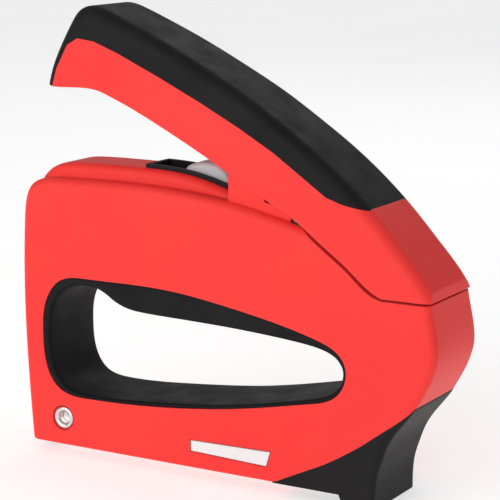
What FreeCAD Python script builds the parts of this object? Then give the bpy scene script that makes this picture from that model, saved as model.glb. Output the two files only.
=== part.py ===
import FreeCAD, Part
import os, math
from FreeCAD import Vector as V

os.makedirs("parts", exist_ok=True)

# Hand staple gun, millimetres. +X is forward to the nose, +Y left, +Z up.
# The origin is on the work plane, under the nose plate.

# ---------------------------------------------------------------- driving sizes
BASE_Z = 3.6            # underside of the body shells above the work plane
HALF_REAR = 13.3        # half width of the body at x = -122
HALF_SLOPE = 0.0133     # growth of the half width per mm forward
WALL = 2.2              # moulded wall
SPINE_HALF = 9.5        # half width of the raised spine on top of the body
PX, PZ = -28.0, 80.0    # lever pivot
PIN_R = 2.5             # pivot pin radius
TRAVEL = 19.5           # lever travel, degrees
COL_X = 8.2             # drive column centre line
SPRING_OR, SPRING_WIRE = 6.9, 1.6
SPRING_Z0, SPRING_Z1 = 42.0, 66.0
STRAP_Y = (7.3, 8.6)    # plunger straps
FORK_Y = (8.9, 10.2)    # lever arm plates
FRAME_Y = (10.5, 11.7)  # chassis plates
LIFT_Z, LIFT_R = 75.0, 1.6
MAG_OUT, MAG_IN = 7.3, 6.3
MAG_Z0, MAG_Z1 = 3.8, 13.6
STAPLE_HALF = 5.7
SCREW_R, SCREW_HEAD = 1.5, 2.8


def half(x):
    return HALF_REAR + (x + 122.0) * HALF_SLOPE


# ---------------------------------------------------------------- outlines (x, z)
REAR = [(-120.8, 3.6), (-121.9, 17.4), (-122.7, 29.8), (-123.3, 40), (-123.5, 50), (-123.2, 61.6),
        (-122.4, 72), (-121.5, 78.3), (-120.7, 83.0), (-119.4, 87.2), (-117.2, 89.9), (-114.3, 91.1), (-110, 91.4)]
LEDGE = [(-110, 91.4), (-91.7, 91.7), (-72.8, 91.6), (-60, 90.8), (-47.4, 89.5), (-33.4, 87.1), (-23.1, 84.8), (-19.8, 83.5)]
SEAM = [(-19.8, 83.5), (-12, 77.6), (-3, 71), (2.6, 66.4), (7.5, 64.5), (22.7, 64.5)]
FRONT = [(22.7, 64.5), (23.4, 60.8), (24.3, 56.6), (24.9, 52.8), (25.0, 48.8), (24.2, 45), (22.6, 40.8),
         (20.4, 36.6), (18.6, 33.4)]
GUARD_LINE = [(18.6, 33.4), (14.2, 29.3), (8.0, 24.7), (1.1, 19.6), (-6.9, 14.5), (-12.3, 11.5), (-19.0, 8.4), (-24.8, 5.6), (-29.2, 3.6)]
GUARD_FRONT = [(5.4, 0), (5.5, 5.5), (6.2, 11), (7.5, 15.1), (9.1, 19.5), (11.3, 23.6), (14.8, 28.2), (18.6, 33.4)]
SPINE = [(-119.4, 86), (-118.2, 89.6), (-116.2, 92.2), (-113.2, 94.4), (-109.5, 95.8), (-105, 96.3), (-92, 96.5), (-79, 96.4),
         (-66, 95.7), (-56, 93.9), (-47, 91.3), (-38, 88.6)]
HOLE = [(-115.2, 41.0), (-115.1, 45), (-114.1, 50.3), (-111.8, 54.8), (-109.0, 57.7), (-105.1, 59.4), (-98, 59.9),
        (-81.5, 60.0), (-66.9, 59.6), (-49.7, 57.6), (-35.8, 55.3), (-23.9, 52.9), (-13.0, 50.0), (-7.6, 47.6),
        (-4.7, 44.4), (-3.9, 41.5), (-4.4, 38.0), (-6.4, 34.6), (-10.0, 32.0), (-16, 30.3), (-36.9, 26.0), (-55.0, 23.2),
        (-82.5, 20.8), (-97.3, 20.4), (-105.0, 20.9), (-109.6, 22.9), (-112.4, 26.2), (-114.2, 30.6), (-115.0, 35.4)]
LINER_IN = [(-112.9, 41.0), (-112.7, 45), (-111.5, 49.6), (-108.9, 53.6), (-105.6, 56.0), (-101.5, 57.2), (-95.5, 57.2), (-91.0, 55.6),
            (-87.3, 53.2), (-83.0, 51.6), (-74.4, 50.9), (-58.2, 50.5), (-45.4, 50.1), (-34.0, 49.5), (-23.4, 48.7),
            (-15.0, 47.7), (-9.6, 46.2), (-6.6, 44.0), (-5.2, 41.3), (-5.6, 38.3), (-7.5, 35.6), (-11.0, 33.2), (-16.6, 31.4),
            (-37.2, 27.1), (-55.2, 24.4), (-82.5, 22.0), (-97.2, 21.6), (-104.3, 22.4), (-108.2, 24.4), (-110.7, 27.6), (-112.2, 31.6), (-112.8, 36)]
LEVER_LOW = [(-112.6, 121.4), (-107.0, 120.8), (-96.8, 121.0), (-91.6, 120.3), (-87.4, 118.8), (-82.5, 116.9), (-75.2, 113.7),
             (-68.2, 110.4), (-61.3, 107.0), (-54.6, 103.6), (-47.6, 99.8), (-41.5, 96.3), (-34.9, 92.8), (-28.2, 89.4), (-22.6, 86.4), (-18.9, 84.1)]
LEVER_SEAM = [(-18.9, 84.1), (-11.4, 78.5), (-2.4, 71.9), (3.0, 67.5), (7.6, 65.2), (22.9, 65.2)]
LEVER_TOP = [(22.9, 65.2), (22.4, 68.2), (19.8, 71.7), (13.6, 78.7), (7.2, 85.7), (0.2, 92.7), (-7.9, 99.8), (-17.1, 106.8),
             (-27.5, 113.8), (-39.0, 121.0), (-52.4, 128.2), (-66.5, 135.2), (-83.2, 142.5), (-90, 145.2), (-95.5, 146.5), (-99.9, 145.4),
             (-103.2, 141.6), (-106.9, 135.4), (-110.6, 128.0), (-112.6, 121.4)]
GRIP_LINE = [(2.4, 96), (2.2, 90.4), (-6.0, 92.0), (-11.1, 93.6), (-18.4, 98.5), (-28.9, 105.5), (-41.0, 112.2), (-54.4, 118.9),
             (-68.8, 125.6), (-84.7, 132.5), (-93.5, 135.7), (-99.6, 136.4), (-103.6, 134.2), (-108.0, 126.4), (-110.3, 119)]


# ---------------------------------------------------------------- helpers
def spl(pts, y=0.0):
    c = Part.BSplineCurve()
    c.interpolate([V(x, y, z) for x, z in pts])
    return c.toShape()


def spl_closed(pts, y=0.0):
    c = Part.BSplineCurve()
    c.interpolate(Points=[V(x, y, z) for x, z in pts], PeriodicFlag=True)
    return c.toShape()


def seg(a, b, y=0.0):
    return Part.makeLine(V(a[0], y, a[1]), V(b[0], y, b[1]))


def prism(edges, y0, y1):
    """Plane outline drawn at y = 0, extruded from y0 to y1."""
    w = Part.Wire(Part.__sortEdges__(edges))
    f = Part.Face(w)
    f.translate(V(0, y0, 0))
    return f.extrude(V(0, y1 - y0, 0))


def poly(pts, y0, y1):
    w = Part.makePolygon([V(x, y0, z) for x, z in pts] + [V(pts[0][0], y0, pts[0][1])])
    return Part.Face(w).extrude(V(0, y1 - y0, 0))


def plan(off, x0=-135.0, x1=40.0, z0=-5.0, z1=160.0):
    """Tapered block: the plan shape of the tool, pulled in by off."""
    a, b = half(x0) - off, half(x1) - off
    w = Part.makePolygon([V(x0, -a, z0), V(x1, -b, z0), V(x1, b, z0), V(x0, a, z0), V(x0, -a, z0)])
    return Part.Face(w).extrude(V(0, 0, z1 - z0))


def box(x0, x1, y0, y1, z0, z1):
    return Part.makeBox(x1 - x0, y1 - y0, z1 - z0, V(x0, y0, z0))


def cyl_y(x, z, r, y0, y1):
    return Part.makeCylinder(r, y1 - y0, V(x, y0, z), V(0, 1, 0))


def cyl_x(y, z, r, x0, x1):
    return Part.makeCylinder(r, x1 - x0, V(x0, y, z), V(1, 0, 0))


def cyl_z(x, y, r, z0, z1):
    return Part.makeCylinder(r, z1 - z0, V(x, y, z0), V(0, 0, 1))


def inset(pts, d):
    """Mitred inward offset of a closed outline."""
    n = len(pts)
    area = sum(pts[i][0] * pts[(i + 1) % n][1] - pts[(i + 1) % n][0] * pts[i][1] for i in range(n))
    s = 1.0 if area > 0 else -1.0
    out = []
    for i in range(n):
        p0, p1, p2 = pts[i - 1], pts[i], pts[(i + 1) % n]
        a = (p1[0] - p0[0], p1[1] - p0[1])
        b = (p2[0] - p1[0], p2[1] - p1[1])
        la, lb = math.hypot(*a), math.hypot(*b)
        na = (-a[1] / la * s, a[0] / la * s)
        nb = (-b[1] / lb * s, b[0] / lb * s)
        m = (na[0] + nb[0], na[1] + nb[1])
        k = d / max(0.35, (m[0] * na[0] + m[1] * na[1]))
        out.append((p1[0] + m[0] * k, p1[1] + m[1] * k))
    return out


def clean(pts):
    """Drop points that sit on top of each other."""
    out = []
    for p in pts:
        if not out or math.hypot(p[0] - out[-1][0], p[1] - out[-1][1]) > 0.05:
            out.append(p)
    if math.hypot(out[0][0] - out[-1][0], out[0][1] - out[-1][1]) < 0.05:
        out.pop()
    return out


def soften(shape, pick, radii, name):
    """Round the picked edges with the first radius that gives a sound solid."""
    es = [e for e in shape.Edges if pick(e)]
    for r in radii:
        try:
            s = shape.makeFillet(r, es)
            if s.isValid() and s.Volume > 0.5 * shape.Volume:
                return s
        except Exception:
            pass
    print("no fillet on", name, len(es))
    return shape


def on_side(e, tol=0.06):
    """True for an edge that lies on one of the tool's tapered sides."""
    a, b = e.ParameterRange
    for k in (0.1, 0.5, 0.9):
        p = e.valueAt(a + (b - a) * k)
        if abs(abs(p.y) - half(p.x)) > tol:
            return False
    return True


def mid(e):
    a, b = e.ParameterRange
    return e.valueAt((a + b) / 2)


def one(shape):
    return shape.removeSplitter()


def biggest(shape):
    return max(shape.Solids, key=lambda s: s.Volume)


def save(name, shape):
    shape.exportStep("parts/%s.step" % name)
    print("%-22s %2d solid %9.1f mm3 %s" % (name, len(shape.Solids), shape.Volume, shape.isValid()))


def coil(x, y, z0, z1, r, wire, turns, axis="z"):
    """Round-wire compression spring with its turns from z0 to z1."""
    h = z1 - z0 - wire
    pitch = h / turns
    hel = Part.makeHelix(pitch, h, r)
    hel.translate(V(0, 0, wire / 2))
    prof = Part.Wire(Part.makeCircle(wire / 2, V(r, 0, wire / 2), V(0, 1, 0)))
    s = Part.Wire(hel).makePipeShell([prof], True, True)
    if axis == "x":
        s.rotate(V(0, 0, 0), V(0, 1, 0), 90)
        s.translate(V(z0, x, y))
    else:
        s.translate(V(x, y, z0))
    return s


# ---------------------------------------------------------------- body outer form
cheek_outline = clean(REAR + LEDGE + SEAM + FRONT + GUARD_LINE)
BACK_POLES = [(-120.8, 3.6), (-122.4, 22), (-123.9, 50), (-123.0, 76), (-121.8, 91.3), (-106, 91.6), (-85, 92.1), (-60, 91.4), (-38, 88.3), (-19.8, 83.5)]
back = Part.BSplineCurve()
back.buildFromPoles([V(x, 0, z) for x, z in BACK_POLES], False, 3)
cheeks = prism([back.toShape(), spl(SEAM[:5]), seg(SEAM[4], SEAM[5]), spl(FRONT), spl(GUARD_LINE),
                seg(GUARD_LINE[-1], REAR[0])], -25, 25)
cheeks = one(cheeks.common(plan(0)))
cheeks = soften(cheeks, lambda e: on_side(e, 0.1) and mid(e).x < -60 and mid(e).z > 60 and e.Length > 150,
                [2.6, 2.2, 1.8, 1.4, 1.0], "rear and ledge")
cheeks = soften(cheeks, lambda e: on_side(e, 0.1) and mid(e).x > 18 and 34.5 < mid(e).z < 64,
                [2.6, 2.0, 1.5, 1.0], "head front")
cheeks = soften(cheeks, lambda e: on_side(e, 0.1) and abs(mid(e).z - BASE_Z) < 0.01 and e.Length > 50,
                [1.0, 0.7], "underside")

spine = prism([spl(SPINE), seg(SPINE[-1], (-46, 76)), seg((-46, 76), (-108, 74)), seg((-108, 74), SPINE[0])], -SPINE_HALF, SPINE_HALF)
spine = soften(spine, lambda e: abs(abs(mid(e).y) - SPINE_HALF) < 0.01 and mid(e).z > 86.5, [2.6, 2.0, 1.5, 1.0], "spine")
body_outer = cheeks.fuse(spine)
# the spine flares in front, outside the lever's arms
FLARE = [(-46.2, 87.0), (-46.2, 98.2), (-41.5, 95.6), (-35.0, 92.2), (-33.9, 91.6), (-33.5, 89.8), (-28.5, 89.0), (-24.5, 86.9), (-24.5, 84.2)]

# ---------------------------------------------------------------- cavity and walls
cavity_outline = clean(REAR + LEDGE + SEAM + FRONT + GUARD_LINE)
cav = poly(inset(cavity_outline, WALL), -25, 25).common(plan(WALL))
sp_in = poly([(-115.6, 84), (-115.0, 89.4), (-112.4, 92.0), (-108.5, 93.6), (-92, 94.2), (-79, 94.1), (-66, 93.4), (-56, 91.6), (-50, 89.6), (-40, 86.6), (-36.5, 86.2), (-36.5, 78), (-110, 80)],
             -SPINE_HALF + WALL, SPINE_HALF - WALL)
cav = cav.fuse(sp_in)
# the head is open on top: the lever's arms and the plunger straps pass here
head_open = poly([(-37.0, 76), (-37.0, 100), (-24.4, 100), (-24.4, 76)], -10.55, 10.55)
head_open = head_open.fuse(poly([(-24.5, 76), (-24.5, 100), (20.4, 100), (20.4, 55), (0, 55)], -11.95, 11.95))
cav = cav.fuse(head_open).fuse(box(-36.0, -24.0, -11.95, 11.95, 70, 84.4))
hole_solid = prism([spl_closed(HOLE)], -25, 25)
ring_pts = inset(HOLE, -WALL)
ring = poly(ring_pts, -25, 25)
cav = cav.cut(ring)

shell = body_outer.cut(cav).cut(hole_solid)
for s in (-1, 1):
    shell = shell.fuse(poly(FLARE, 10.55 if s > 0 else -11.5, 11.5 if s > 0 else -10.55))

# the drive column passes down through the shells' floor into the nose guard
shell = shell.cut(poly([(-3.2, 10), (-3.2, 25.5), (16.8, 40.0), (16.8, 24)], -12.1, 12.1))

# magazine way along the underside and out of the heel
mag_way = box(-130, 5, -MAG_OUT, MAG_OUT, -2, MAG_Z1).fuse(box(-130, -115.8, -7.6, 7.6, 0, 14.0))
shell = shell.cut(mag_way)
mag_wall = box(-119, -24, -9.3, 9.3, BASE_Z, 15.4).cut(mag_way)
mag_wall = mag_wall.common(poly(cheek_outline, -25, 25)).cut(hole_solid)
shell = shell.fuse(mag_wall)

# round recesses for the heel studs
STUD = (-107.7, 12.7)
for s in (-1, 1):
    yo = half(STUD[0])
    pad = cyl_y(STUD[0], STUD[1], 5.0, 9.0, yo - 0.2) if s > 0 else cyl_y(STUD[0], STUD[1], 5.0, -yo + 0.2, -9.0)
    shell = shell.fuse(pad.common(poly(cheek_outline, -25, 25)).cut(hole_solid))
for s in (-1, 1):
    yo = half(STUD[0])
    a, b = (yo - 1.0, 25) if s > 0 else (-25, -yo + 1.0)
    shell = shell.cut(cyl_y(STUD[0], STUD[1], 4.2, a, b))
    a, b = (10.0, 25) if s > 0 else (-25, -10.0)
    shell = shell.cut(cyl_y(STUD[0], STUD[1], 2.0, a, b))

# screw bosses
SCREWS = [(-112.2, 78.0), (-78.0, 72.0), (-44.0, 67.0), (-21.0, 20.2)]
for x, z in SCREWS:
    shell = shell.fuse(cyl_y(x, z, 3.3, -half(x) + 1.2, half(x) - 1.2))
for x, z in SCREWS:
    shell = shell.cut(cyl_y(x, z, SCREW_R, -half(x) + 4.0, half(x) + 1))
    shell = shell.cut(cyl_y(x, z, SCREW_HEAD + 0.15, half(x) - 2.6, half(x) + 2))

# badge recess on the right side, and on the left for symmetry of the mould
BADGE = [(-58.7, 9.0), (-31.0, 8.2), (-29.4, 13.4), (-58.7, 12.9)]
badge_cut = poly(BADGE, -half(-45) - 2, -half(-45) + 0.7)
shell = shell.cut(badge_cut)

# lock slot in the spine
LOCK_X0, LOCK_X1 = -79.0, -47.5
bez_cut = box(LOCK_X0, LOCK_X1, -6.6, 6.6, 89.0, 110)
shell = shell.cut(bez_cut)

left = biggest(shell.common(box(-200, 100, 0, 40, -10, 200)))
right = biggest(shell.common(box(-200, 100, -40, 0, -10, 200)))
save("body_shell_left", left)
save("body_shell_right", right)

# ---------------------------------------------------------------- screws, studs, badge
scr = []
for x, z in SCREWS:
    h = half(x)
    s = cyl_y(x, z, SCREW_R, -h + 4.0, h - 2.6).fuse(cyl_y(x, z, SCREW_HEAD, h - 2.6, h - 0.9))
    s = s.cut(box(x - 2.0, x + 2.0, h - 1.7, h, z - 0.35, z + 0.35)).cut(box(x - 0.35, x + 0.35, h - 1.7, h, z - 2.0, z + 2.0))
    scr.append(s)
save("body_screws", Part.makeCompound(scr))

st = []
for s in (-1, 1):
    yo = half(STUD[0])
    if s > 0:
        p = cyl_y(STUD[0], STUD[1], 2.0, 10.0, yo - 1.0).fuse(cyl_y(STUD[0], STUD[1], 3.7, yo - 1.0, yo - 0.1))
        p = p.cut(cyl_y(STUD[0], STUD[1], 1.5, yo - 0.9, yo + 1))
    else:
        p = cyl_y(STUD[0], STUD[1], 2.0, -yo + 1.0, -10.0).fuse(cyl_y(STUD[0], STUD[1], 3.7, -yo + 0.1, -yo + 1.0))
        p = p.cut(cyl_y(STUD[0], STUD[1], 1.5, -yo - 1, -yo + 0.9))
    st.append(p)
save("heel_studs", Part.makeCompound(st))

badge = poly([(-58.4, 9.3), (-31.2, 8.5), (-29.8, 13.1), (-58.4, 12.6)], -half(-45) - 0.15, -half(-45) + 0.7).common(plan(0.0))
save("label_badge", badge)

# ---------------------------------------------------------------- finger opening liner
liner = prism([spl_closed(HOLE)], -25, 25).cut(prism([spl_closed(LINER_IN)], -26, 26)).common(plan(0.15))
save("finger_liner", liner)

# ---------------------------------------------------------------- nose guard and nose plate
guard_edges = [spl(GUARD_LINE), spl(GUARD_FRONT), seg((5.4, 0), (-4.5, 0)), seg((-4.5, 0), (-6.0, BASE_Z)), seg((-6.0, BASE_Z), (-29.2, BASE_Z))]
guard = prism(guard_edges, -25, 25).common(plan(0.0))
guard = soften(guard, lambda e: on_side(e, 0.1) and mid(e).x > 5.0 and mid(e).z < 22 and e.Length > 20 and mid(e).x < 12,
               [2.2, 1.6, 1.0, 0.6], "guard front")
guard = guard.cut(poly([(17.2, 40), (15.4, 31.6), (12.4, 27.6), (9.8, 24.0), (2.0, 24.0), (2.0, 15.8), (-6.0, 12.0), (-14.0, 8.0), (-31, 0.2), (-31, 40)], -12.2, 12.2))
guard = guard.cut(box(-40, 2.0, -MAG_OUT, MAG_OUT, BASE_Z - 0.01, MAG_Z1))
guard = guard.cut(box(2.0, 4.8, -8.5, 8.5, -1, 30))
save("nose_guard", one(guard))

nose = box(3.4, 4.8, -8.5, 8.5, 0, 24.0)
save("nose_plate", nose)

# ---------------------------------------------------------------- chassis, pin, seat, bumper
plate_pts = [(-34, 74.5), (-34, 82.0), (-32, 83.8), (-22, 83.4), (-8, 77.5), (9.6, 76.0), (14.2, 71.5), (16.8, 68.6), (19.6, 66), (20.2, 61), (20.2, 45), (16.5, 37), (12.4, 31.6), (-0.9, 31.6),
             (-0.9, 50.5), (-8.0, 54.4), (-22, 60.0), (-30, 66)]
pl = [poly(plate_pts, FRAME_Y[0], FRAME_Y[1]), poly(plate_pts, -FRAME_Y[1], -FRAME_Y[0])]
pl = [p.cut(cyl_y(PX, PZ, PIN_R, -30, 30)) for p in pl]
web = box(17.6, 18.8, -FRAME_Y[1], FRAME_Y[1], 45, SPRING_Z1 + 2.4)
brace = box(-21, -19.8, -FRAME_Y[1], FRAME_Y[1], 60.5, 66)
frame = pl[0].fuse([pl[1], web, brace])
save("drive_frame", one(frame))

pin = cyl_y(PX, PZ, PIN_R, -12.1, 12.1)
save("lever_pivot_pin", pin)

seat = box(COL_X - 7.4, 17.6, -6.9, 6.9, SPRING_Z1, SPRING_Z1 + 2.4).fuse(cyl_z(COL_X, 0, 4.6, SPRING_Z1 - 3.0, SPRING_Z1))
save("spring_seat", one(seat))

bumper = box(4.8, 9.6, -6.4, 6.4, 24.0, 29.6)
bumper = soften(bumper, lambda e: abs(mid(e).z - 29.6) < 0.01, [0.8], "bumper")
save("bumper", bumper)

# ---------------------------------------------------------------- magazine
channel = box(-116, 2.0, -MAG_OUT, MAG_OUT, MAG_Z0, MAG_Z1).cut(box(-117, 3, -MAG_IN, MAG_IN, MAG_Z0 + 1.0, MAG_Z1 - 1.0))
save("magazine_channel", channel)

strip = box(-34.7, 1.8, -STAPLE_HALF, STAPLE_HALF, MAG_Z0 + 1.0, 12.2).cut(box(-35, 3, -STAPLE_HALF + 0.6, STAPLE_HALF - 0.6, 3, 11.6))
save("staple_strip", strip)

rail = box(-113.0, 1.4, -4.5, 4.5, 6.4, 11.2).cut(box(-112.0, 2, -3.6, 3.6, 6.0, 10.4))
save("magazine_rail", rail)

cap = box(-121.4, -116.3, -7.2, 7.2, 4.0, 13.4).fuse(box(-116.4, -113.0, -5.9, 5.9, 5.2, 12.2))
cap = soften(cap, lambda e: abs(mid(e).x + 121.4) < 0.01, [1.2, 0.8], "cap")
cap = cap.cut(box(-122, -120.6, -4.2, 4.2, 6.2, 11.2).cut(box(-122, -120.4, -4.2, 4.2, 7.6, 8.2)).cut(box(-122, -120.4, -4.2, 4.2, 9.2, 9.8)))
save("magazine_cap", one(cap))

rod = cyl_x(0, 8.3, 1.0, -112.0, -36.0)
save("pusher_rod", rod)
save("pusher_spring", coil(0, 8.3, -111.8, -46.4, 1.65, 0.55, 34, axis="x"))

pusher = box(-46.0, -35.0, -5.9, 5.9, 5.1, 12.2).cut(box(-47, -34, -4.8, 4.8, 6.1, 11.5))
pusher = pusher.fuse(box(-46.0, -38.0, -3.2, 3.2, 6.0, 10.0)).cut(cyl_x(0, 8.3, 1.06, -50, -30))
save("pusher", one(pusher))

# ---------------------------------------------------------------- plunger column
bl = box(2.2, 3.2, -STAPLE_HALF, STAPLE_HALF, 0.5, 41.0)
save("driver_blade", bl)

block = box(3.2, 13.2, -STRAP_Y[1], STRAP_Y[1], 30.0, 36.0).fuse(box(3.2, 13.2, -6.6, 6.6, 36.0, SPRING_Z0))
block = block.fuse(cyl_z(COL_X, 0, 4.6, SPRING_Z0, SPRING_Z0 + 3.0))
for s in (-1, 1):
    y0, y1 = (STRAP_Y[0], STRAP_Y[1]) if s > 0 else (-STRAP_Y[1], -STRAP_Y[0])
    block = block.fuse(box(COL_X - 2.8, COL_X + 2.8, y0, y1, 30.0, LIFT_Z)).fuse(cyl_y(COL_X, LIFT_Z, 2.8, y0, y1))
block = block.cut(cyl_y(COL_X, LIFT_Z, LIFT_R, -20, 20))
save("plunger", one(block))

lift = cyl_y(COL_X, LIFT_Z, LIFT_R, -FORK_Y[1], FORK_Y[1])
save("lift_pin", lift)

save("drive_spring", coil(COL_X, 0, SPRING_Z0, SPRING_Z1, SPRING_OR - SPRING_WIRE / 2, SPRING_WIRE, 5.5))

# ---------------------------------------------------------------- lever
lever_outline = clean(LEVER_LOW + LEVER_SEAM + LEVER_TOP)
L0 = prism([spl(LEVER_LOW), spl(LEVER_SEAM[:5]), seg(LEVER_SEAM[4], LEVER_SEAM[5]), seg(LEVER_TOP[0], LEVER_TOP[1]), spl(LEVER_TOP[1:])], -25, 25)
L0 = one(L0.common(plan(0)))


def above_low(p):
    """Height of a point over the lever's lower edge."""
    for (x0, z0), (x1, z1) in zip(LEVER_LOW + LEVER_SEAM[1:], (LEVER_LOW + LEVER_SEAM[1:])[1:]):
        if x0 <= p.x <= x1:
            return p.z - (z0 + (z1 - z0) * (p.x - x0) / (x1 - x0))
    return 99.0


L0 = soften(L0, lambda e: on_side(e, 0.1) and above_low(mid(e)) > 8.0, [4.2, 3.6, 3.0, 2.4, 1.8], "lever top")
# inner outline, run on below the lower edge so that the channel is open there
lever_open = [(-117.0, 112.0)] + [(x, z - 9.0) for x, z in LEVER_LOW[2:]] + [(x, z - 9.0) for x, z in LEVER_SEAM[1:5]] + [(25.0, 55.5)] + LEVER_TOP[1:-1]
L1 = poly(inset(lever_open, 2.2), -25, 25).common(plan(2.2))
G = poly(GRIP_LINE + [(-116, 119), (-130, 150), (-95, 160), (2.4, 130)], -30, 30)
grip = biggest(L0.common(G).cut(L1))
under = [(x, z - 2.0) for x, z in GRIP_LINE[2:11]]
zone_b = poly([(40, 60), (40, 86.5), (2.2, 88.0)] + under + [(-99.6, 133.6), (-102.4, 131.5), (-106.5, 124.6), (-108.6, 118), (-60, 60)], -30, 30)
cav_a = poly(inset(lever_open, 4.6), -25, 25).common(plan(4.6))
cav_b = poly(inset(lever_open, 2.4), -25, 25).common(plan(2.4)).common(zone_b)
# the channel is open along its lower edge
open_low = poly([(x, z + 4.8) for x, z in LEVER_LOW[2:-1]] + [(-17, 89.5), (-2, 77.5), (6, 71.0), (20.0, 69.5), (20.2, 55), (0, 55), (-30, 75), (-100, 110)], -30, 30).common(plan(2.4))
notch = box(-118, -100, -10.4, 10.4, 110, 124.6)
lever = L0.cut(grip).cut(cav_a).cut(cav_b).cut(open_low).cut(notch)
LSCREWS = [(-25.5, 94.0), (-52.0, 112.5)]
for x, z in LSCREWS:
    for s in (-1, 1):
        y0, y1 = (FORK_Y[1], half(x) - 1.5) if s > 0 else (-half(x) + 1.5, -FORK_Y[1])
        lever = lever.fuse(cyl_y(x, z, 3.3, y0, y1))
for x, z in LSCREWS:
    lever = lever.cut(cyl_y(x, z, SCREW_R, -half(x) + 2.0, half(x) + 1)).cut(cyl_y(x, z, SCREW_HEAD + 0.15, half(x) - 2.0, half(x) + 2))
lever = biggest(lever)
save("lever_shell", lever)
save("lever_grip", grip)

arm_pts = [(-31.2, 78), (-31.4, 92.5), (-46, 106.8), (-52, 110.2), (-62, 115.5), (-62, 118.4), (-46, 112.4), (-30, 102.8), (-20.0, 95.4), (-18.5, 88), (-8, 80.0), (COL_X + 1.5, 72.4), (COL_X + 2.0, 70.0), (COL_X - 2, 68.9),
           (-8, 71.0), (-24, 73.5)]
arms = []
for s in (-1, 1):
    y0, y1 = (FORK_Y[0], FORK_Y[1]) if s > 0 else (-FORK_Y[1], -FORK_Y[0])
    a = poly(arm_pts, y0, y1).fuse(cyl_y(PX, PZ, 6.2, y0, y1)).fuse(cyl_y(COL_X, LIFT_Z - LIFT_R - 0.25 - 2.1, 2.1, y0, y1))
    a = a.cut(cyl_y(PX, PZ, PIN_R + 0.05, y0 - 1, y1 + 1))
    arms.append(a)
bridge = poly([(-61.5, 116.6), (-61.5, 118.0), (-46, 112.2), (-34, 105.0), (-34, 103.4), (-46, 110.6)], -FORK_Y[1], FORK_Y[1])
arm = arms[0].fuse([arms[1], bridge])
for x, z in LSCREWS:
    arm = arm.cut(cyl_y(x, z, SCREW_R, -20, 20))
save("lever_arm", one(arm))

ls = []
for x, z in LSCREWS:
    h = half(x)
    s = cyl_y(x, z, SCREW_R, -h + 2.0, h - 2.0).fuse(cyl_y(x, z, SCREW_HEAD, h - 2.0, h - 0.5))
    s = s.cut(box(x - 2.0, x + 2.0, h - 1.3, h, z - 0.35, z + 0.35)).cut(box(x - 0.35, x + 0.35, h - 1.3, h, z - 2.0, z + 2.0))
    ls.append(s)
save("lever_screws", Part.makeCompound(ls))

# torsion spring on the pivot pin
tr, tw = 3.7, 1.1
hel = Part.makeHelix(1.25, 10.0, tr)
prof = Part.Wire(Part.makeCircle(tw / 2, V(tr, 0, 0), V(0, 1, 0)))
tors = Part.Wire(hel).makePipeShell([prof], True, True)
tors.rotate(V(0, 0, 0), V(1, 0, 0), -90)
tors.translate(V(PX, -5.0, PZ))
save("lever_return_spring", tors)

# ---------------------------------------------------------------- lock on the spine
bez = box(LOCK_X0, LOCK_X1, -6.6, 6.6, 90.0, 97.6).cut(box(LOCK_X0 + 1.4, LOCK_X1 - 1.4, -5.2, 5.2, 91.5, 105))
slope = poly([(-64, 99), (-40, 99), (-40, 92.4), (-47.5, 93.0), (-56, 95.5)], -20, 20)
bez = bez.cut(slope)
bez = bez.common(prism([spl([(x, z + 1.2) for x, z in SPINE]), seg((SPINE[-1][0], SPINE[-1][1] + 1.2), (-38, 70)), seg((-38, 70), (-119.4, 70)), seg((-119.4, 70), (SPINE[0][0], SPINE[0][1] + 1.2))], -20, 20))
bez = bez.fuse(poly([(-49.0, 91.6), (-49.0, 96.2), (-48.4, 97.6), (-47.5, 97.8), (-47.5, 91.6)], -6.6, 6.6))
save("lock_bezel", biggest(bez))

btn = prism([spl([(-66.3, 94.5), (-65.6, 97.2), (-63.0, 98.6), (-58.0, 99.3), (-53.6, 98.6), (-50.8, 96.6), (-49.6, 94.2)]),
             seg((-49.6, 94.2), (-49.6, 91.9)), seg((-49.6, 91.9), (-66.3, 91.9)), seg((-66.3, 91.9), (-66.3, 94.5))], -4.8, 4.8)
btn = soften(btn, lambda e: abs(abs(mid(e).y) - 4.8) < 0.01 and mid(e).z > 92.2, [1.6, 1.2, 0.8], "button")
save("lock_button", btn)
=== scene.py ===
import bpy, bmesh, math
import numpy as np
from mathutils import Vector, Matrix


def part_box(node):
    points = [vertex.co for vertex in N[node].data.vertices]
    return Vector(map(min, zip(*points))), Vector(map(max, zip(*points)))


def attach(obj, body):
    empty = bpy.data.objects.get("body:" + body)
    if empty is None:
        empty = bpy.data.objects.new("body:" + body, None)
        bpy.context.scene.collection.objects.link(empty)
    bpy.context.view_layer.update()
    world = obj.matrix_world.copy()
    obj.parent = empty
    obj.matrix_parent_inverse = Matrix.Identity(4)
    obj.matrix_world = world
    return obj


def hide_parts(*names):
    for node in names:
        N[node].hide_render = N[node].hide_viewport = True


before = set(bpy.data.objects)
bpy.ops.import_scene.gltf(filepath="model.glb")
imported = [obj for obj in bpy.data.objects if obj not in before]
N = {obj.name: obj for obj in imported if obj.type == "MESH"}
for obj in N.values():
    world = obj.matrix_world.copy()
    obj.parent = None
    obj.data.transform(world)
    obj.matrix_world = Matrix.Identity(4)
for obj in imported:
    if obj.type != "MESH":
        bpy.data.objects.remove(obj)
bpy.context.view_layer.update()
MM = 0.001


def half(x):
    return (13.3 + (x + 122.0) * 0.0133)


# ------------------------------------------------------------------ materials
def new_mat(name):
    m = bpy.data.materials.new(name)
    m.use_nodes = True
    nt = m.node_tree
    return m, nt, nt.nodes["Principled BSDF"]


def node(nt, kind, **kw):
    n = nt.nodes.new(kind)
    for k, v in kw.items():
        if k.startswith("in_"):
            n.inputs[k[3:].replace("_", " ")].default_value = v
        else:
            setattr(n, k, v)
    return n


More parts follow.
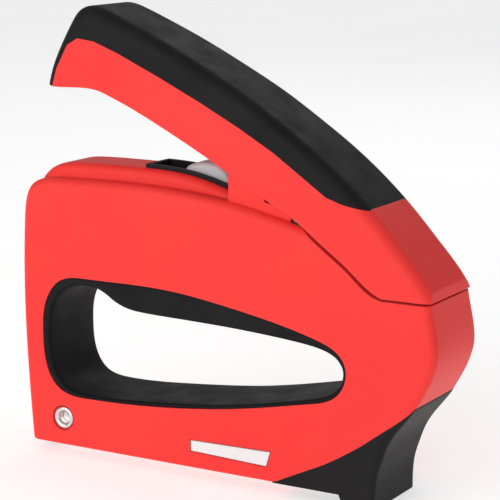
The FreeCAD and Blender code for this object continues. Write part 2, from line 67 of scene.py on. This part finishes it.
def coords(nt, scale=(1, 1, 1)):
    tc = node(nt, "ShaderNodeTexCoord")
    mp = node(nt, "ShaderNodeMapping")
    mp.inputs["Scale"].default_value = scale
    nt.links.new(tc.outputs["Object"], mp.inputs["Vector"])
    return mp.outputs["Vector"]


def ramp(nt, src, a, b, lo=0.35, hi=0.65):
    r = node(nt, "ShaderNodeMapRange")
    r.inputs["From Min"].default_value = lo
    r.inputs["From Max"].default_value = hi
    r.inputs["To Min"].default_value = a
    r.inputs["To Max"].default_value = b
    nt.links.new(src, r.inputs["Value"])
    return r.outputs["Result"]


def mix(nt, fac, a, b):
    m = node(nt, "ShaderNodeMix", data_type="RGBA")
    nt.links.new(fac, m.inputs[0])
    for sock, v in ((m.inputs[6], a), (m.inputs[7], b)):
        if isinstance(v, tuple):
            sock.default_value = v
        else:
            nt.links.new(v, sock)
    return m.outputs[2]


def noise(nt, vec, scale, detail=3.0, rough=0.5):
    n = node(nt, "ShaderNodeTexNoise")
    n.inputs["Scale"].default_value = scale
    n.inputs["Detail"].default_value = detail
    n.inputs["Roughness"].default_value = rough
    nt.links.new(vec, n.inputs["Vector"])
    return n.outputs["Fac"]


def bump(nt, height, strength, distance, normal=None):
    b = node(nt, "ShaderNodeBump")
    b.inputs["Strength"].default_value = strength
    b.inputs["Distance"].default_value = distance
    nt.links.new(height, b.inputs["Height"])
    if normal is not None:
        nt.links.new(normal, b.inputs["Normal"])
    return b.outputs["Normal"]


def edge(nt, radius):
    b = node(nt, "ShaderNodeBevel", samples=4)
    b.inputs["Radius"].default_value = radius
    return b.outputs["Normal"]


def plastic(name, base, deep, light, rough, grain=900.0, grain_strength=0.12, spec=0.5, edge_r=0.0005, wear=0.5):
    """Moulded plastic: flow variation, fine spark-eroded texture, rubbed edges and a few handling marks."""
    m, nt, bs = new_mat(name)
    v = coords(nt)
    big = noise(nt, v, 28.0, 4.0)
    col = mix(nt, ramp(nt, big, 0.0, 1.0), deep, base)
    geo = node(nt, "ShaderNodeNewGeometry")
    away = node(nt, "ShaderNodeVectorMath", operation="DOT_PRODUCT")
    nt.links.new(geo.outputs["Normal"], away.inputs[0])
    nt.links.new(edge(nt, 0.0009), away.inputs[1])
    worn = node(nt, "ShaderNodeMath", operation="MULTIPLY")
    nt.links.new(ramp(nt, away.outputs["Value"], wear, 0.0, 0.80, 0.99), worn.inputs[0])
    nt.links.new(ramp(nt, noise(nt, v, 160.0, 5.0), 0.2, 1.0), worn.inputs[1])
    col = mix(nt, worn.outputs[0], col, light)
    nt.links.new(col, bs.inputs["Base Color"])
    sm = noise(nt, v, 75.0, 6.0, 0.6)
    nt.links.new(ramp(nt, sm, rough - 0.015, rough + 0.02, 0.3, 0.7), bs.inputs["Roughness"])
    fine = noise(nt, v, grain, 2.0)
    n1 = bump(nt, fine, grain_strength, 0.00012, edge(nt, edge_r))
    scr = noise(nt, coords(nt, (1.0, 1.0, 14.0)), 190.0, 2.0)
    n2 = bump(nt, ramp(nt, scr, 0.0, 1.0, 0.68, 0.74), 0.06, 0.00005, n1)
    nt.links.new(n2, bs.inputs["Normal"])
    bs.inputs["Specular IOR Level"].default_value = spec
    return m


def rubber(name, base, light, rough, cell=1500.0, strength=0.35, edge_r=0.0006):
    """Soft-touch elastomer: pebbled skin, dusty highlights and uneven sheen."""
    m, nt, bs = new_mat(name)
    v = coords(nt)
    col = mix(nt, ramp(nt, noise(nt, v, 45.0, 5.0), 0.0, 1.0), base, light)
    nt.links.new(col, bs.inputs["Base Color"])
    nt.links.new(ramp(nt, noise(nt, v, 110.0, 4.0), rough - 0.08, rough + 0.08, 0.3, 0.7), bs.inputs["Roughness"])
    vor = node(nt, "ShaderNodeTexVoronoi", feature="SMOOTH_F1")
    vor.inputs["Scale"].default_value = cell
    nt.links.new(v, vor.inputs["Vector"])
    n1 = bump(nt, vor.outputs["Distance"], strength, 0.0002, edge(nt, edge_r))
    n2 = bump(nt, noise(nt, v, 2600.0, 1.0), 0.12, 0.00008, n1)
    nt.links.new(n2, bs.inputs["Normal"])
    bs.inputs["Specular IOR Level"].default_value = 0.09
    bs.inputs["Sheen Weight"].default_value = 0.01
    return m


def steel(name, base, rough, stretch=(1.0, 60.0, 60.0), tint=(0.62, 0.6, 0.56, 1)):
    """Zinc-plated steel with rolling lines, faint staining and fine scratches."""
    m, nt, bs = new_mat(name)
    v = coords(nt)
    lines = noise(nt, coords(nt, stretch), 55.0, 4.0, 0.6)
    col = mix(nt, ramp(nt, noise(nt, v, 60.0, 4.0), 0.0, 1.0), base, tint)
    nt.links.new(col, bs.inputs["Base Color"])
    nt.links.new(ramp(nt, lines, rough - 0.08, rough + 0.12, 0.3, 0.7), bs.inputs["Roughness"])
    nt.links.new(bump(nt, lines, 0.14, 0.00006, edge(nt, 0.00025)), bs.inputs["Normal"])
    bs.inputs["Metallic"].default_value = 1.0
    return m


RED = plastic("red_abs", (0.90, 0.050, 0.043, 1), (0.885, 0.044, 0.040, 1), (0.96, 0.12, 0.10, 1), 0.38, spec=0.12)
GRIP = rubber("grip_rubber", (0.010, 0.010, 0.011, 1), (0.0135, 0.0135, 0.0145, 1), 0.52)
LINER = rubber("liner_rubber", (0.008, 0.008, 0.009, 1), (0.012, 0.012, 0.013, 1), 0.5, cell=2100.0, strength=0.2)
BLACK = plastic("black_nylon", (0.017, 0.017, 0.018, 1), (0.012, 0.012, 0.013, 1), (0.042, 0.042, 0.044, 1), 0.45, grain=1300.0, grain_strength=0.2, spec=0.08)
GREY = plastic("grey_button", (0.50, 0.50, 0.52, 1), (0.44, 0.44, 0.46, 1), (0.55, 0.55, 0.56, 1), 0.42, grain=1500.0, grain_strength=0.15)
WHITE = plastic("white_badge", (0.88, 0.88, 0.88, 1), (0.80, 0.80, 0.81, 1), (0.93, 0.93, 0.93, 1), 0.34, grain=1800.0, grain_strength=0.05, wear=0.2)
STEEL = steel("zinc_steel", (0.56, 0.56, 0.58, 1), 0.30)
BRIGHT = steel("bright_steel", (0.74, 0.74, 0.76, 1), 0.20, stretch=(40.0, 1.0, 40.0), tint=(0.66, 0.65, 0.63, 1))
DARK = steel("hardened_steel", (0.22, 0.22, 0.23, 1), 0.34, tint=(0.30, 0.28, 0.26, 1))
FRAME = steel("frame_steel", (0.20, 0.20, 0.21, 1), 0.36, tint=(0.26, 0.25, 0.24, 1))
SPRING = steel("spring_steel", (0.36, 0.36, 0.38, 1), 0.28, stretch=(6.0, 6.0, 60.0), tint=(0.42, 0.38, 0.32, 1))

USE = {
    "body_shell_left": RED, "body_shell_right": RED, "lever_shell": RED,
    "lever_grip": GRIP, "finger_liner": LINER, "bumper": LINER,
    "nose_guard": BLACK, "lock_bezel": BLACK, "magazine_cap": BLACK,
    "lock_button": GREY, "label_badge": WHITE,
    "heel_studs": BRIGHT, "nose_plate": BRIGHT, "lift_pin": BRIGHT, "pusher_rod": BRIGHT,
    "body_screws": DARK, "lever_screws": DARK, "lever_pivot_pin": DARK, "driver_blade": DARK,
    "drive_frame": FRAME,
    "drive_spring": SPRING, "pusher_spring": SPRING, "lever_return_spring": SPRING,
}
for name, o in N.items():
    m = USE.get(name, STEEL)
    if not o.data.materials:
        o.data.materials.append(m)
    for s in o.material_slots:
        s.material = m


# ------------------------------------------------------------------ mesh helpers
def make(name, verts, faces, mat, body, smooth=True):
    me = bpy.data.meshes.new(name)
    me.from_pydata([Vector(v) for v in verts], [], faces)
    bm = bmesh.new(); bm.from_mesh(me)
    bmesh.ops.remove_doubles(bm, verts=bm.verts, dist=1e-6)
    bmesh.ops.recalc_face_normals(bm, faces=bm.faces)
    bm.to_mesh(me); bm.free()
    if smooth:
        me.shade_smooth()
    me.materials.append(mat)
    o = bpy.data.objects.new(name, me)
    bpy.context.scene.collection.objects.link(o)
    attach(o, body)
    return o


def closed_spline(pts, n):
    """Even points along a smooth closed curve through pts."""
    p = np.array(pts, float)
    out = []
    k = len(p)
    for i in range(k):
        a, b, c, d = p[i - 1], p[i], p[(i + 1) % k], p[(i + 2) % k]
        for t in np.linspace(0, 1, 12, endpoint=False):
            out.append(0.5 * ((2 * b) + (c - a) * t + (2 * a - 5 * b + 4 * c - d) * t ** 2 + (3 * b - a - 3 * c + d) * t ** 3))
    out = np.array(out)
    seg = np.linalg.norm(np.roll(out, -1, 0) - out, axis=1)
    s = np.concatenate([[0], np.cumsum(seg)])
    q = np.linspace(0, s[-1], n, endpoint=False)
    ring = np.vstack([out, out[:1]])
    return np.stack([np.interp(q, s, ring[:, 0]), np.interp(q, s, ring[:, 1])], 1)


def tube_strip(rings, closed=False):
    """Faces that join rings of equal length, each ring closed on itself."""
    n = len(rings[0])
    faces = []
    m = len(rings)
    for j in range(m if closed else m - 1):
        a, b = j * n, ((j + 1) % m) * n
        for i in range(n):
            k = (i + 1) % n
            faces.append((a + i, a + k, b + k, b + i))
    return [v for r in rings for v in r], faces


# ------------------------------------------------------------------ finger liner with rolled lips
HOLE = [(-115.2, 41.0), (-115.1, 45), (-114.1, 50.3), (-111.8, 54.8), (-109.0, 57.7), (-105.1, 59.4), (-98, 59.9),
        (-81.5, 60.0), (-66.9, 59.6), (-49.7, 57.6), (-35.8, 55.3), (-23.9, 52.9), (-13.0, 50.0), (-7.6, 47.6),
        (-4.7, 44.4), (-3.9, 41.5), (-4.4, 38.0), (-6.4, 34.6), (-10.0, 32.0), (-16, 30.3), (-36.9, 26.0), (-55.0, 23.2),
        (-82.5, 20.8), (-97.3, 20.4), (-105.0, 20.9), (-109.6, 22.9), (-112.4, 26.2), (-114.2, 30.6), (-115.0, 35.4)]
INNER = [(-112.9, 41.0), (-112.7, 45), (-111.5, 49.6), (-108.9, 53.6), (-105.6, 56.0), (-101.5, 57.2), (-95.5, 57.2), (-91.0, 55.6),
         (-87.3, 53.2), (-83.0, 51.6), (-74.4, 50.9), (-58.2, 50.5), (-45.4, 50.1), (-34.0, 49.5), (-23.4, 48.7),
         (-15.0, 47.7), (-9.6, 46.2), (-6.6, 44.0), (-5.2, 41.3), (-5.6, 38.3), (-7.5, 35.6), (-11.0, 33.2), (-16.6, 31.4),
         (-37.2, 27.1), (-55.2, 24.4), (-82.5, 22.0), (-97.2, 21.6), (-104.3, 22.4), (-108.2, 24.4), (-110.7, 27.6), (-112.2, 31.6), (-112.8, 36)]
NP = 260
outer = closed_spline(HOLE, NP)
inner = closed_spline(INNER, 2400)
# partner of each outer point: the nearest inner point, kept in order
idx = [int(np.argmin(((inner - p) ** 2).sum(1))) for p in outer]
for i in range(1, NP):
    step = (idx[i] - idx[i - 1]) % 2400
    if step > 1200:
        idx[i] = idx[i - 1]
part_in = inner[idx]
sm = part_in.copy()
for _ in range(3):
    sm = (np.roll(sm, 1, 0) + 2 * sm + np.roll(sm, -1, 0)) / 4
gap = np.linalg.norm(outer - sm, axis=1)
rings = []


def liner_ring(t, inset_y):
    """Ring at fraction t from the outer to the inner outline, inset_y below the side face."""
    p = outer * (1 - t)[:, None] + sm * t[:, None]
    return p, inset_y


lip = np.minimum(gap * 0.8, 1.6)
cols = []
one = np.ones(NP)
cols.append((outer, one * 2.5))
cols.append((outer, one * 0.45))
e = np.minimum(0.25 / np.maximum(gap, 0.3), 0.3)
cols.append((outer * (1 - e)[:, None] + sm * e[:, None], one * 0.2))
for a in np.linspace(0, math.pi / 2, 7):
    f = 1 - (lip / np.maximum(gap, 1e-3)) * (1 - math.sin(a))
    f = np.clip(f, e + 0.02, 1.0)
    cols.append((outer * (1 - f)[:, None] + sm * f[:, None], 0.18 + lip * (1 - math.cos(a))))
prof = []
for p, d in cols:
    prof.append([(x * MM, -(half(x) - dd) * MM, z * MM) for (x, z), dd in zip(p, d)])
mid_n = 5
last_p, last_d = cols[-1]
for k in range(1, mid_n + 1):
    t = k / (mid_n + 1)
    prof.append([(x * MM, (-(half(x) - dd) * (1 - t) + (half(x) - dd) * t) * MM, z * MM) for (x, z), dd in zip(last_p, last_d)])
for p, d in reversed(cols):
    prof.append([(x * MM, (half(x) - dd) * MM, z * MM) for (x, z), dd in zip(p, d)])
v, f = tube_strip(prof, closed=True)
liner = make("finger_liner_soft", v, f, LINER, "body")
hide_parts("finger_liner")


# ------------------------------------------------------------------ small moulded ribs
def rib(name, centre, along, up, length, width, height, mat, body, slot, n=14, m=10):
    """Rounded bar, its ends tapered into the surface it stands on."""
    c, a, u = Vector(centre), Vector(along).normalized(), Vector(up).normalized()
    s = a.cross(u).normalized()
    rings = []
    for i in range(n + 1):
        t = -1 + 2 * i / n
        k = math.sqrt(max(0.0, 1 - abs(t) ** 6))
        k = max(k, 0.02)
        rings.append([tuple(c + a * (t * length / 2) + s * (math.cos(q) * width / 2 * k) + u * (math.sin(q) * height * k))
                      for q in [2 * math.pi * j / m for j in range(m)]])
    v, f = tube_strip(rings)
    f.append(tuple(range(m)))
    f.append(tuple(range(n * m, n * m + m))[::-1])
    return v, f


def group(name, parts, mat, body):
    V, F = [], []
    for v, f in parts:
        o = len(V)
        V += v
        F += [tuple(i + o for i in q) for q in f]
    return make(name, V, F, mat, body)


# thumb ribs on the lock button
blo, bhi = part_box("lock_button")
parts = []
for k in range(5):
    x = -61.8 + k * 2.1
    z = 98.95 - 0.020 * (x + 58.0) ** 2
    parts.append(rib("b", (x * MM, 0, z * MM), (0, 1, 0), (0, 0, 1), 0.0058, 0.0008, 0.00035, GREY, "lock", "grey_plastic", n=10, m=8))
group("button_ribs", parts, GREY, "lock")

# staples: the fixed strip shown as separate glued wires
parts = []
slo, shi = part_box("staple_strip")
n_st = 38
for k in range(n_st):
    x0 = shi.x * 1000 - 0.93 - k * (36.4 / n_st)
    w = 0.90
    yo, yi, zb, zt = 5.68, 5.08, 4.85, 12.18
    prof = [(-yo, zb), (-yo, zt - 0.25), (-yo + 0.25, zt), (yo - 0.25, zt), (yo, zt - 0.25), (yo, zb), (yi, zb + 0.5), (yi, zt - 0.65), (yi - 0.1, zt - 0.6),
            (-yi + 0.1, zt - 0.6), (-yi, zt - 0.65), (-yi, zb + 0.5)]
    a = [((x0) * MM, y * MM, z * MM) for y, z in prof]
    b = [((x0 + w) * MM, y * MM, z * MM) for y, z in prof]
    m = len(prof)
    fcs = [(i, (i + 1) % m, m + (i + 1) % m, m + i) for i in range(m)]
    # end caps as quads along the bent wire
    for off in (0, m):
        for q in ((0, 1, 10, 11), (1, 2, 9, 10), (2, 3, 8, 9), (3, 4, 7, 8), (4, 5, 6, 7)):
            fcs.append(tuple(off + i for i in q))
    parts.append((a + b, fcs))
st = group("staples", parts, BRIGHT, "body")
for p in st.data.polygons:
    p.use_smooth = False
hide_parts("staple_strip")

# heel rivet: a rolled tubular head each side, its bore dark
parts = []
for s in (-1, 1):
    yo = half(-107.7)
    prof = [(0.0, 3.2), (1.75, 3.2), (2.0, 3.0), (2.05, 0.9), (2.15, 0.55), (2.5, 0.22), (3.0, 0.12), (3.4, 0.2), (3.65, 0.45), (3.75, 0.8), (3.75, 1.0), (2.4, 1.02), (1.98, 1.3), (1.98, 3.6), (0.0, 3.6)]
    ring = []
    m = 40
    for r, d in prof:
        ring.append([((-107.7 + max(r, 0.001) * math.cos(2 * math.pi * k / m)) * MM, s * (yo - d) * MM, (12.7 + max(r, 0.001) * math.sin(2 * math.pi * k / m)) * MM) for k in range(m)])
    v, f = tube_strip(ring)
    parts.append((v, f))
rv = group("heel_rivets", parts, BRIGHT, "body")
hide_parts("heel_studs")

# ------------------------------------------------------------------ floor, light, camera
bm = bmesh.new()
bmesh.ops.create_grid(bm, x_segments=8, y_segments=8, size=7.0)
me = bpy.data.meshes.new("floor"); bm.to_mesh(me); bm.free()
floor = bpy.data.objects.new("floor", me)
bpy.context.scene.collection.objects.link(floor)
fm, nt, bs = new_mat("floor_white")
vv = coords(nt)
nt.links.new(mix(nt, ramp(nt, noise(nt, vv, 6.0, 3.0), 0.0, 1.0), (0.90, 0.90, 0.90, 1), (0.93, 0.93, 0.93, 1)), bs.inputs["Base Color"])
bs.inputs["Roughness"].default_value = 0.8
bs.inputs["Specular IOR Level"].default_value = 0.1
bs.inputs["Emission Color"].default_value = (1, 1, 1, 1)
bs.inputs["Emission Strength"].default_value = 0.50
me.materials.append(fm)

w = bpy.data.worlds.new("studio")
bpy.context.scene.world = w
w.use_nodes = True
w.node_tree.nodes["Background"].inputs["Color"].default_value = (1, 1, 1, 1)
w.node_tree.nodes["Background"].inputs["Strength"].default_value = 0.38


def area(name, loc, target, size, power, color=(1, 1, 1)):
    d = bpy.data.lights.new(name, "AREA")
    d.shape = "RECTANGLE"
    d.size, d.size_y = size
    d.energy = power
    d.color = color
    o = bpy.data.objects.new(name, d)
    o.location = loc
    o.rotation_euler = (Vector(target) - Vector(loc)).to_track_quat("-Z", "Y").to_euler()
    bpy.context.scene.collection.objects.link(o)
    return o


C0 = (-0.05, 0, 0.07)
area("key", (-0.20, -1.00, 0.32), C0, (1.4, 1.0), 7.6)
area("rim", (-0.1, 0.9, 0.8), C0, (0.8, 0.5), 1.2)

al, el, dist = math.radians(30), math.radians(11), 0.600
back = Vector((math.sin(al) * math.cos(el), -math.cos(al) * math.cos(el), math.sin(el)))
right = Vector((math.cos(al), math.sin(al), 0))
up = back.cross(right)
T = Vector((-0.0452, 0.0, 0.0722))
cd = bpy.data.cameras.new("camera")
cd.sensor_width = 36.0
cd.lens = 1935.0 / 500.0 * 36.0
cam = bpy.data.objects.new("camera", cd)
M = Matrix((right, up, back)).transposed().to_4x4()
M.translation = T + back * dist
cam.matrix_world = M
bpy.context.scene.collection.objects.link(cam)
bpy.context.scene.camera = cam
bpy.context.scene.view_settings.view_transform = "Standard"
